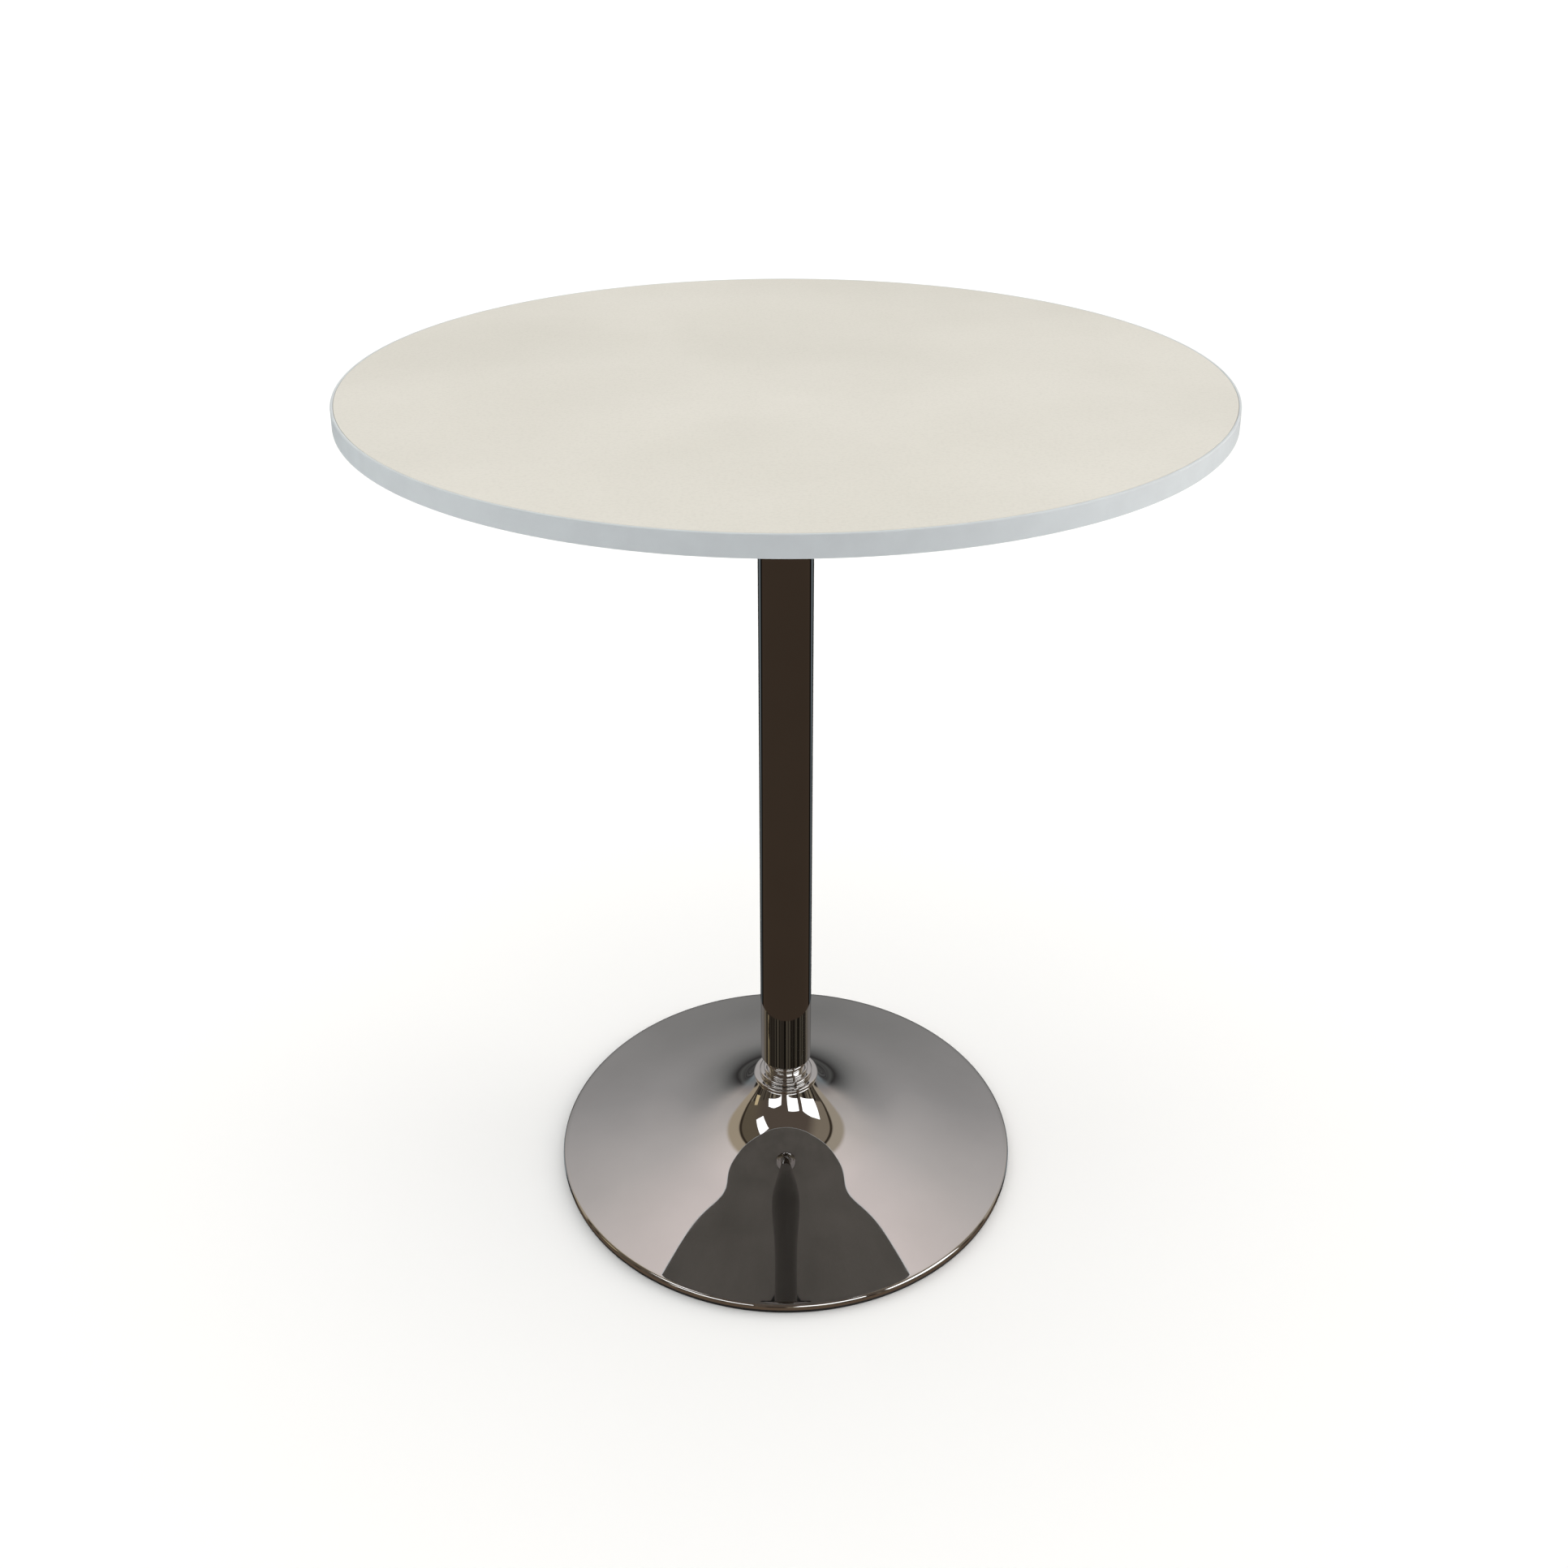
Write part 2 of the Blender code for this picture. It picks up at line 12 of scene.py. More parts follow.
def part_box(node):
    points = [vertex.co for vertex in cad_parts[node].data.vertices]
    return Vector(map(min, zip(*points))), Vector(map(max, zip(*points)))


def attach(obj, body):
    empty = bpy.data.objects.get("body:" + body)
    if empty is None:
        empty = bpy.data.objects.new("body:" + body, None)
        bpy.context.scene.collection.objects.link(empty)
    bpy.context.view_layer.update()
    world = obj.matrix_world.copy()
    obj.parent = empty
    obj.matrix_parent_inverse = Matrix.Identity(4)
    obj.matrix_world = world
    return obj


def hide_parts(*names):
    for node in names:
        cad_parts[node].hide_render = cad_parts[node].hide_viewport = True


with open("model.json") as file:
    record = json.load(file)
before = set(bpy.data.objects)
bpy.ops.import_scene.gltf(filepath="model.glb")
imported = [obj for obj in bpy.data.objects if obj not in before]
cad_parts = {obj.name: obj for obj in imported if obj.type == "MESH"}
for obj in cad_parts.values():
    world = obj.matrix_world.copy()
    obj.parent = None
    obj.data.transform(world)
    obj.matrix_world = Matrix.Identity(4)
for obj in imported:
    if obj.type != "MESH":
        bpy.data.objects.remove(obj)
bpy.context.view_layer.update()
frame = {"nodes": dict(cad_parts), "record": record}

MM = 0.001
BODY = "root"
FINE_FACETS = 256
ROUND_FACETS = 128
SMALL_FACETS = 48
SHARP_ANGLE = math.radians(30.0)
TUBE_WALL = 1.5 * MM
GAP = 0.3 * MM
SHELL_HOLE = 16.0 * MM          # radius of the hole in the crown and in the trim ring
ROD_HOLE = 5.6 * MM             # radius of the hole for the tie rod
AXIS_RADIUS = 1e-7              # an outline point nearer than this lies on the axis
LONG_RUN = 4.0 * MM             # a straight run longer than this is held flat
HOLD = 0.4 * MM                 # how far from its ends
STIFFNESS = 3.0e-7              # of the easing of the trumpet
END_HOLD = 1.0e4                # holds the two ends of the trumpet in place
CARD_DISTANCE = 6.0
FLOOR_RADIUS = 30.0
CAMERA_PLACE = (0.0, -1.2492, 1.1102)
CAMERA_PITCH = 21.783           # degrees below level
CAMERA_LENS = 37.37
CAMERA_SHIFT = (-0.0012, -0.15)


# ---------------------------------------------------------------- camera
def build_camera():
    """Looks down on the table from the front, a little above the top."""
    data = bpy.data.cameras.new("camera")
    data.sensor_width = 36.0
    data.lens = CAMERA_LENS
    data.shift_x, data.shift_y = CAMERA_SHIFT
    camera = bpy.data.objects.new("camera", data)
    camera.location = CAMERA_PLACE
    camera.rotation_euler = (math.radians(90.0 - CAMERA_PITCH), 0.0, 0.0)
    bpy.context.scene.collection.objects.link(camera)
    bpy.context.scene.camera = camera


# ---------------------------------------------------------------- node helpers
class Nodes:
    """A short way to add nodes to a material or world and link them."""

    def __init__(self, tree):
        self.tree = tree
        self.tree.nodes.clear()

    def add(self, kind, inputs=None, **settings):
        node = self.tree.nodes.new(kind)
        for name, value in settings.items():
            setattr(node, name, value)
        for name, value in (inputs or {}).items():
            self.feed(node.inputs[name], value)
        return node

    def feed(self, socket, value):
        if isinstance(value, bpy.types.NodeSocket):
            self.tree.links.new(value, socket)
        else:
            socket.default_value = value

    def math(self, operation, first, second=0.0, third=0.0):
        node = self.add("ShaderNodeMath", operation=operation)
        for socket, value in zip(node.inputs, (first, second, third)):
            self.feed(socket, value)
        return node.outputs[0]

    def ramp(self, factor, stops, interpolation="LINEAR"):
        node = self.add("ShaderNodeValToRGB")
        node.color_ramp.interpolation = interpolation
        elements = node.color_ramp.elements
        while len(elements) < len(stops):
            elements.new(0.5)
        for element, (place, colour) in zip(elements, stops):
            element.position = place
            element.color = (*colour, 1.0)
        self.feed(node.inputs[0], factor)
        return node.outputs[0]

    def mix(self, factor, first, second, blend="MIX"):
        node = self.add("ShaderNodeMix", data_type="RGBA", blend_type=blend)
        self.feed(node.inputs[0], factor)
        self.feed(node.inputs[6], first)
        self.feed(node.inputs[7], second)
        return node.outputs[2]

    def noise(self, place, scale, detail=3.0, roughness=0.5):
        inputs = {"Vector": place, "Scale": scale, "Detail": detail, "Roughness": roughness}
        return self.add("ShaderNodeTexNoise", inputs).outputs["Fac"]

    def bump(self, height, strength, distance):
        inputs = {"Height": height, "Strength": strength, "Distance": distance}
        return self.add("ShaderNodeBump", inputs).outputs["Normal"]


def grey(value):
    return (value, value, value)


def new_material(name):
    material = bpy.data.materials.new(name)
    material.use_nodes = True
    nodes = Nodes(material.node_tree)
    shader = nodes.add("ShaderNodeBsdfPrincipled")
    output = nodes.add("ShaderNodeOutputMaterial")
    nodes.feed(output.inputs["Surface"], shader.outputs["BSDF"])
    place = nodes.add("ShaderNodeTexCoord").outputs["Object"]
    return material, nodes, shader, place


# ---------------------------------------------------------------- materials
def make_chrome(name, brightness):
    """Mirror-like plate with a faint waviness and a slightly uneven polish."""
    material, nodes, shader, place = new_material(name)
    tint = nodes.noise(place, 14.0, 4.0)
    dull = tuple(brightness * share for share in (0.976, 0.970, 0.963))
    bright = tuple(brightness * share for share in (1.024, 1.018, 1.012))
    colour = nodes.ramp(tint, [(0.35, dull), (0.65, bright)])
    nodes.feed(shader.inputs["Base Color"], colour)
    shader.inputs["Metallic"].default_value = 1.0
    haze = nodes.noise(place, 60.0, 5.0, 0.6)
    roughness = nodes.ramp(haze, [(0.3, grey(0.012)), (0.75, grey(0.04))])
    nodes.feed(shader.inputs["Roughness"], roughness)
    wave = nodes.noise(place, 22.0, 2.0)
    nodes.feed(shader.inputs["Normal"], nodes.bump(wave, 0.03, 0.2 * MM))
    return material


def make_laminate():
    """Warm ivory high-pressure laminate with a fine pebbled, satin surface."""
    material, nodes, shader, place = new_material("ivory_laminate")
    broad = nodes.noise(place, 3.2, 5.0, 0.62)
    warm = nodes.ramp(broad, [(0.34, (0.686, 0.672, 0.620)), (0.62, (0.720, 0.705, 0.657))])
    speck = nodes.noise(place, 420.0, 2.0)
    fleck = nodes.ramp(speck, [(0.30, grey(0.955)), (0.55, grey(1.0))])
    nodes.feed(shader.inputs["Base Color"], nodes.mix(1.0, warm, fleck, "MULTIPLY"))
    haze = nodes.noise(place, 7.0, 6.0, 0.65)
    roughness = nodes.ramp(haze, [(0.35, grey(0.40)), (0.65, grey(0.52))])
    nodes.feed(shader.inputs["Roughness"], roughness)
    shader.inputs["Specular IOR Level"].default_value = 0.35
    pebble = nodes.noise(place, 950.0, 3.0)
    nodes.feed(shader.inputs["Normal"], nodes.bump(pebble, 0.25, 0.05 * MM))
    return material


def make_edge_band():
    """Cool white plastic edging with a faint mottle and a fine grain."""
    material, nodes, shader, place = new_material("white_edge_band")
    mottle = nodes.noise(place, 60.0, 4.0)
    colour = nodes.ramp(mottle, [(0.3, (0.605, 0.645, 0.680)), (0.7, (0.635, 0.680, 0.715))])
    nodes.feed(shader.inputs["Base Color"], colour)
    haze = nodes.noise(place, 140.0, 3.0)
    nodes.feed(shader.inputs["Roughness"], nodes.ramp(haze, [(0.3, grey(0.36)), (0.7, grey(0.46))]))
    grain = nodes.noise(place, 800.0, 2.0)
    nodes.feed(shader.inputs["Normal"], nodes.bump(grain, 0.2, 0.05 * MM))
    return material


def make_backing():
    """Dark brown phenolic sheet with a dull, finely rough face."""
    material, nodes, shader, place = new_material("brown_backing")
    blotch = nodes.noise(place, 9.0, 5.0)
    colour = nodes.ramp(blotch, [(0.3, (0.075, 0.066, 0.058)), (0.7, (0.092, 0.081, 0.072))])
    nodes.feed(shader.inputs["Base Color"], colour)
    haze = nodes.noise(place, 300.0, 2.0)
    nodes.feed(shader.inputs["Roughness"], nodes.ramp(haze, [(0.3, grey(0.55)), (0.7, grey(0.7))]))
    weave = nodes.noise(place, 700.0, 2.0)
    nodes.feed(shader.inputs["Normal"], nodes.bump(weave, 0.3, 0.08 * MM))
    return material


def make_particle_board():
    """Pressed chips: pale and dark flakes in a brown binder."""
    material, nodes, shader, place = new_material("particle_board")
    chips = nodes.add("ShaderNodeTexVoronoi", {"Vector": place, "Scale": 420.0})
    flake = nodes.ramp(
        chips.outputs["Color"], [(0.2, (0.30, 0.20, 0.11)), (0.8, (0.56, 0.42, 0.26))]
    )
    nodes.feed(shader.inputs["Base Color"], flake)
    shader.inputs["Roughness"].default_value = 0.9
    nodes.feed(
        shader.inputs["Normal"], nodes.bump(chips.outputs["Distance"], 0.5, 0.2 * MM)
    )
    return material


def make_plated_steel(name, colour, roughness):
    """Plated hardware with a mottled, slightly uneven sheen."""
    material, nodes, shader, place = new_material(name)
    mottle = nodes.noise(place, 180.0, 4.0, 0.6)
    dark = tuple(0.86 * channel for channel in colour)
    nodes.feed(shader.inputs["Base Color"], nodes.ramp(mottle, [(0.3, dark), (0.7, colour)]))
    shader.inputs["Metallic"].default_value = 1.0
    haze = nodes.noise(place, 500.0, 3.0)
    low = grey(0.8 * roughness)
    high = grey(1.25 * roughness)
    nodes.feed(shader.inputs["Roughness"], nodes.ramp(haze, [(0.3, low), (0.7, high)]))
    nodes.feed(shader.inputs["Normal"], nodes.bump(haze, 0.15, 0.04 * MM))
    return material


def make_cast_iron():
    """Sand-cast iron under a thin black primer."""
    material, nodes, shader, place = new_material("cast_iron")
    blotch = nodes.noise(place, 30.0, 6.0, 0.6)
    colour = nodes.ramp(blotch, [(0.35, (0.035, 0.034, 0.033)), (0.75, (0.085, 0.075, 0.068))])
    nodes.feed(shader.inputs["Base Color"], colour)
    shader.inputs["Metallic"].default_value = 0.3
    sand = nodes.noise(place, 900.0, 4.0, 0.7)
    nodes.feed(shader.inputs["Roughness"], nodes.ramp(sand, [(0.3, grey(0.65)), (0.7, grey(0.9))]))
    nodes.feed(shader.inputs["Normal"], nodes.bump(sand, 0.6, 0.3 * MM))
    return material


def make_dull_black(name, level, roughness, grain_scale):
    """Moulded black plastic or rubber with a fine grain and a little dust."""
    material, nodes, shader, place = new_material(name)
    dust = nodes.noise(place, 45.0, 5.0, 0.6)
    nodes.feed(
        shader.inputs["Base Color"],
        nodes.ramp(dust, [(0.4, grey(level)), (0.8, grey(1.7 * level))]),
    )
    grain = nodes.noise(place, grain_scale, 3.0)
    low = grey(0.85 * roughness)
    high = grey(1.1 * roughness)
    nodes.feed(shader.inputs["Roughness"], nodes.ramp(grain, [(0.3, low), (0.7, high)]))
    nodes.feed(shader.inputs["Normal"], nodes.bump(grain, 0.35, 0.08 * MM))
    return material


def make_looks():
    return {
        "laminate": make_laminate(),
        "particle_board": make_particle_board(),
        "backing": make_backing(),
        "edge_band": make_edge_band(),
        "chrome": make_chrome("chrome_plate", 0.82),
        # A darker copy of the chrome, at 0.32 of its brightness, for the tube and the flange. On
        # the flange it is painted shade: it stands in for the dark underside that the flange
        # mirrors under the table top.
        "darker_chrome_and_painted_shade": make_chrome("chrome_plate_darker_and_painted_shade", 0.32),
        "zinc_steel": make_plated_steel("zinc_plate", (0.62, 0.62, 0.60), 0.34),
        "screw_steel": make_plated_steel("nickel_plate", (0.60, 0.58, 0.54), 0.26),
        "cast_iron": make_cast_iron(),
        "cover": make_dull_black("black_cover", 0.03, 0.6, 500.0),
        "rubber": make_dull_black("black_rubber", 0.018, 0.8, 900.0),
    }


# ---------------------------------------------------------------- outlines
def arc(centre_radius, centre_height, radius, start, end, steps):
    """Points of a circular arc in the radius-height plane, with angles in degrees."""
    angles = np.radians(np.linspace(start, end, steps + 1))
    return [
        (centre_radius + radius * math.cos(a), centre_height + radius * math.sin(a))
        for a in angles
    ]


def corner_arc(radius, height, rounding, start, steps=5):
    """A quarter-round that takes off an outer corner, with its start angle in degrees."""
    middle = math.radians(start + 45.0)
    centre_radius = radius - math.copysign(rounding, math.cos(middle))
    centre_height = height - math.copysign(rounding, math.sin(middle))
    return arc(centre_radius, centre_height, rounding, start, start + 90.0, steps)


def bead(radius, bottom, top, steps=12):
    """The outer half of a rounded ring between two heights."""
    half = (top - bottom) / 2.0
    return arc(radius - half, bottom + half, half, -90.0, 90.0, steps)


def eased(stations):
    """Moves the stations by a fraction of a millimetre, so that the outline bends evenly."""
    radii, heights = np.array(stations).T
    place = np.log(radii)
    change = np.eye(len(radii))
    for order in (1, 2, 3):
        reach = (place[order:] - place[:-order]) / order
        change = np.diff(change, axis=0) / reach[:, None]
    hold = np.eye(len(radii))
    hold[0, 0] = END_HOLD
    hold[-1, -1] = END_HOLD
    heights = np.linalg.solve(hold + STIFFNESS * change.T @ change, hold @ heights)
    return list(zip(radii, heights))


def natural_spline(stations, places):
    """Height over radius at the given places, on a smooth curve through the stations."""
    radii, heights = np.array(stations).T
    spans = np.diff(radii)
    slopes = np.diff(heights) / spans
    count = len(radii)
    system = np.eye(count)
    bends = np.zeros(count)
    for i in range(1, count - 1):
        system[i, i - 1] = spans[i - 1]
        system[i, i] = 2.0 * (spans[i - 1] + spans[i])
        system[i, i + 1] = spans[i]
        bends[i] = 6.0 * (slopes[i] - slopes[i - 1])
    bends = np.linalg.solve(system, bends)
    curve = []
    for place in places:
        i = int(np.clip(np.searchsorted(radii, place, side="right") - 1, 0, count - 2))
        left = place - radii[i]
        right = radii[i + 1] - place
        span = spans[i]
        height = (
            (bends[i] * right**3 + bends[i + 1] * left**3) / (6.0 * span)
            + (heights[i] / span - bends[i] * span / 6.0) * right
            + (heights[i + 1] / span - bends[i + 1] * span / 6.0) * left
        )
        curve.append((float(place), float(height)))
    return curve


def offset_inwards(outline, distance):
    """Moves an outline that runs outwards and down towards its underside."""
    points = np.array(outline)
    along = np.gradient(points, axis=0)
    along /= np.linalg.norm(along, axis=1)[:, None]
    inward = np.column_stack((along[:, 1], -along[:, 0]))
    return [tuple(point) for point in points + inward * distance]


def outer_stations(node, least_radius, most_radius):
    """Radius and height of a CAD node's upper surface, read from its mesh."""
    found = {}
    for vertex in frame["nodes"][node].data.vertices:
        radius = round(math.hypot(vertex.co.x, vertex.co.y), 5)
        if vertex.normal.z > 0.0 and least_radius <= radius <= most_radius:
            found[radius] = vertex.co.z
    return sorted(found.items())


# ---------------------------------------------------------------- pieces
def finish_piece(name, work, material, slot, *nodes):
    """Makes a visible piece of a finished bmesh, and stands it in for its CAD nodes."""
    bmesh.ops.recalc_face_normals(work, faces=work.faces)
    mesh = bpy.data.meshes.new(name)
    work.to_mesh(mesh)
    work.free()
    mesh.shade_smooth()
    mesh.set_sharp_from_angle(angle=SHARP_ANGLE)
    mesh.materials.append(material)
    piece = bpy.data.objects.new(name, mesh)
    bpy.context.scene.collection.objects.link(piece)
    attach(piece, BODY)
    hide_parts(*nodes)
    return piece


def hold_flats(outline, closed):
    """Adds a point near each end of every long straight run, so that it shades flat."""
    followers = outline[1:] + outline[:1] if closed else outline[1:]
    held = []
    for start, end in zip(outline, followers):
        held.append(start)
        run = math.dist(start, end)
        if run > LONG_RUN:
            for share in (HOLD / run, 1.0 - HOLD / run):
                held.append(tuple(a + share * (b - a) for a, b in zip(start, end)))
    if not closed:
        held.append(outline[-1])
    return held


def turned(outline, facets, closed=True):
    """Spins an outline of (radius, height) points about the Z axis into a bmesh."""
    work = bmesh.new()
    rings = []
    for radius, height in hold_flats(outline, closed):
        if radius < AXIS_RADIUS:
            rings.append([work.verts.new((0.0, 0.0, height))])
            continue
        ring = []
        for i in range(facets):
            angle = math.tau * i / facets
            place = (radius * math.cos(angle), radius * math.sin(angle), height)
            ring.append(work.verts.new(place))
        rings.append(ring)
    pairs = list(zip(rings, rings[1:]))
    if closed:
        pairs.append((rings[-1], rings[0]))
    for lower, upper in pairs:
        join_rings(work, lower, upper, facets)
    return work


def join_rings(work, lower, upper, facets):
    for i in range(facets):
        j = (i + 1) % facets
        if len(lower) == 1:
            work.faces.new((lower[0], upper[j], upper[i]))
        elif len(upper) == 1:
            work.faces.new((lower[i], lower[j], upper[0]))
        else:
            work.faces.new((lower[i], lower[j], upper[j], upper[i]))


def extent(node):
    """A round node's outer radius, its lowest height and its highest."""
    low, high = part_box(node)
    return high[0], low[2], high[2]


def build_laminate(look):
    radius, bottom, top = extent("top_laminate")
    edge = 0.15 * MM
    outline = [(0.0, bottom), (radius, bottom)]
    outline += corner_arc(radius, top, edge, 0.0, 3)
    outline += [(radius * share, top) for share in (0.9, 0.6, 0.3)]
    outline.append((0.0, top))
    work = turned(outline, FINE_FACETS, closed=False)
    finish_piece("laminate_face", work, look["laminate"], "laminate", "top_laminate")


def build_band(look):
    radius, bottom, top = extent("edge_band")
    inner = extent("top_laminate")[0] + 0.25 * MM
    rounding = 0.9 * MM
    outline = corner_arc(inner, bottom, 0.1 * MM, 180.0, 2)
    outline += corner_arc(radius, bottom, rounding, -90.0)
    outline += corner_arc(radius, top, rounding, 0.0)
    outline += corner_arc(inner, top, 0.1 * MM, 90.0, 2)
    work = turned(outline, FINE_FACETS)
    finish_piece("edge_band_fine", work, look["edge_band"], "edge_band", "edge_band")


def build_tube(look):
    radius, bottom, top = extent("column_tube")
    inner = radius - TUBE_WALL
    rounding = 0.35 * MM
    outline = corner_arc(inner, bottom, 0.15 * MM, 180.0, 2)
    outline += corner_arc(radius, bottom, rounding, -90.0, 4)
    outline += corner_arc(radius, top, rounding, 0.0, 4)
    outline += corner_arc(inner, top, 0.15 * MM, 90.0, 2)
    work = turned(outline, ROUND_FACETS)
    # The tube takes the darker copy of the chrome, which is partly painted shade.
    finish_piece("tube_fine", work, look["darker_chrome_and_painted_shade"], "chrome", "column_tube")


def build_shell(look):
    """The spun shell: a flat crown, the trumpet, and an edge rolled under."""
    radius, _, crown = extent("base_shell")
    wall = 1.2 * MM
    corner = 1.5 * MM
    corner_end = 35.0
    roll = 3.5 * MM
    roll_centre = 4.9 * MM
    stations = eased(outer_stations("base_shell", 29.6 * MM, radius - 2.5 * MM))
    start = stations[0][0]
    end = stations[-1][0]
    corner_centre = start - corner * math.cos(math.radians(corner_end))
    share = np.linspace(0.0, 1.0, 111) ** 1.5
    outer = [(SHELL_HOLE, crown), (0.5 * (SHELL_HOLE + corner_centre), crown)]
    outer += arc(corner_centre, crown - corner, corner, 90.0, corner_end, 8)
    outer += natural_spline(stations, start + share * (end - start))[1:]
    outer += arc(radius - roll, roll_centre, roll, 62.0, -35.0, 18)
    inner = offset_inwards(outer, wall)[::-1]
    work = turned(outer + inner, FINE_FACETS)
    finish_piece("base_shell_fine", work, look["chrome"], "chrome", "base_shell")


def build_trim_ring(look):
    radius, bottom, top = extent("trim_ring")
    outline = [(SHELL_HOLE, bottom)] + bead(radius, bottom, top) + [(SHELL_HOLE, top)]
    work = turned(outline, ROUND_FACETS)
    finish_piece("trim_ring_fine", work, look["chrome"], "chrome", "trim_ring")


def build_collar(look):
    """The turned collar: two beads, a waist, a double shoulder and a hidden spigot."""
    radius, bottom, spigot_top = extent("neck_collar")
    shoulder_top = extent("column_tube")[1] - GAP
    spigot = extent("column_tube")[0] - TUBE_WALL - GAP
    lower_bead = 3.6 * MM
    upper_bead = 2.9 * MM
    upper_bead_radius = 20.8 * MM
    second = bottom + lower_bead
    waist_bottom = second + upper_bead
    waist_top = shoulder_top - 8.2 * MM
    waist = 17.6 * MM
    shoulder = 19.8 * MM
    middle = 0.5 * (waist_top + shoulder_top)
    outline = [(ROD_HOLE, bottom)]
    outline += bead(radius, bottom, second)
    outline += bead(upper_bead_radius, second, waist_bottom)
    outline += [(waist, waist_bottom), (waist, waist_top)]
    outline += bead(shoulder, waist_top, middle)
    outline += bead(shoulder, middle, shoulder_top)
    outline += [(shoulder - 2.0 * MM, shoulder_top), (spigot - 0.4 * MM, shoulder_top)]
    outline += [(spigot, shoulder_top + 0.8 * MM)]
    outline += corner_arc(spigot, spigot_top, 2.0 * MM, 0.0)
    outline.append((ROD_HOLE, spigot_top))
    work = turned(outline, ROUND_FACETS)
    finish_piece("neck_collar_fine", work, look["chrome"], "chrome", "neck_collar")


def circle_places(count, radius, turn=0.0):
    """Evenly spaced places on a circle about the Z axis."""
    angles = [turn + math.tau * i / count for i in range(count)]
    return [(radius * math.cos(a), radius * math.sin(a)) for a in angles]


def helper_object(work):
    """An unseen object of a bmesh, for a boolean."""
    mesh = bpy.data.meshes.new("helper")
    work.to_mesh(mesh)
    work.free()
    item = bpy.data.objects.new("helper", mesh)
    bpy.context.scene.collection.objects.link(item)
    return item


def cut(work, cutter):
    """The first bmesh less the second, which are both used up."""
    target = helper_object(work)
    tool = helper_object(cutter)
    hole = target.modifiers.new("cut", "BOOLEAN")
    hole.operation = "DIFFERENCE"
    hole.solver = "EXACT"
    hole.object = tool
    evaluated = target.evaluated_get(bpy.context.evaluated_depsgraph_get())
    result = bmesh.new()
    result.from_mesh(evaluated.to_mesh())
    evaluated.to_mesh_clear()
    for item in (target, tool):
        bpy.data.meshes.remove(item.data)
    return result


def drill(work, places, radius, bottom, top):
    """The bmesh with an upright round hole at each place."""
    drills = bmesh.new()
    for x, y in places:
        made = bmesh.ops.create_cone(
            drills,
            cap_ends=True,
            segments=SMALL_FACETS,
            radius1=radius,
            radius2=radius,
            depth=top - bottom,
        )
        bmesh.ops.translate(drills, verts=made["verts"], vec=(x, y, 0.5 * (top + bottom)))
    return cut(work, drills)


def build_flange(look):
    """The turned flange with its filleted hub and six screw holes."""
    radius, mouth, top = extent("top_flange")
    plate_bottom = top - 4.0 * MM
    hub = 31.0 * MM
    fillet = 4.0 * MM
    rounding = 1.2 * MM
    socket = extent("column_tube")[0] + GAP
    ceiling = mouth + 15.0 * MM
    pocket = 13.0 * MM
    pocket_floor = ceiling + 4.4 * MM
    screw_circle = 50.0 * MM
    screw_hole = 2.6 * MM
    outline = [(ROD_HOLE, ceiling), (socket, ceiling)]
    outline += corner_arc(socket, mouth, 0.5 * MM, 180.0, 3)
    outline += corner_arc(hub, mouth, rounding, -90.0)
    outline += arc(hub + fillet, plate_bottom - fillet, fillet, 180.0, 90.0, 8)
    outline += corner_arc(radius, plate_bottom, rounding, -90.0)
    outline += corner_arc(radius, top, 0.3 * MM, 0.0, 2)
    outline += [(pocket, top), (pocket, pocket_floor), (ROD_HOLE, pocket_floor)]
    work = turned(outline, ROUND_FACETS)
    places = circle_places(6, screw_circle)
    work = drill(work, places, screw_hole, plate_bottom - MM, top + MM)
    # Painted shade: the flange takes the darker copy of the chrome, for the dark underside that it
    # mirrors under the table top.
    finish_piece("top_flange_fine", work, look["darker_chrome_and_painted_shade"], "chrome", "top_flange")


def recess_cutter(size, depth):
    """A cross that narrows upwards, to cut a screwdriver slot into a head's underside."""
    levels = ((-depth, 1.15), (depth, 0.62))
    work = bmesh.new()
    rings = []
    for height, share in levels:
        arm = 0.5 * size * share
        half = 0.15 * size * share
        ring = []
        for quarter in range(4):
            turn = 0.25 * math.tau * quarter
            for x, y in ((arm, -half), (arm, half), (half, half)):
                across = x * math.cos(turn) - y * math.sin(turn)
                along = x * math.sin(turn) + y * math.cos(turn)
                ring.append(work.verts.new((across, along, height)))
        rings.append(ring)
    join_rings(work, rings[0], rings[1], len(rings[0]))
    for ring in rings:
        work.faces.new(ring)
    bmesh.ops.recalc_face_normals(work, faces=work.faces)
    return work


def build_screws(look, name, count, head_radius, head_height, shank_radius):
    """Pan-head screws that point up, each turned to its own angle."""
    low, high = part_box(f"{name}_1")
    length = high[2] - low[2]
    rim = 0.45 * head_height
    dome = 0.12 * head_height
    outline = [(0.0, 0.0), (0.5 * (head_radius - rim), 0.25 * dome), (head_radius - rim, dome)]
    outline += arc(head_radius - rim, dome + rim, rim, -90.0, 0.0, 6)[1:]
    outline += [(head_radius, head_height), (shank_radius, head_height)]
    outline += [(shank_radius, length - 1.6 * shank_radius), (0.0, length)]
    for number in range(1, count + 1):
        node = f"{name}_{number}"
        low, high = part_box(node)
        work = turned(outline, SMALL_FACETS, closed=False)
        work = cut(work, recess_cutter(1.1 * head_radius, 0.4 * head_height))
        spin = Matrix.Rotation(math.radians(67.0 * number), 4, "Z")
        middle = Matrix.Translation((0.5 * (low[0] + high[0]), 0.5 * (low[1] + high[1]), low[2]))
        work.transform(middle @ spin)
        finish_piece(f"{node}_fine", work, look["screw_steel"], "screw_steel", node)


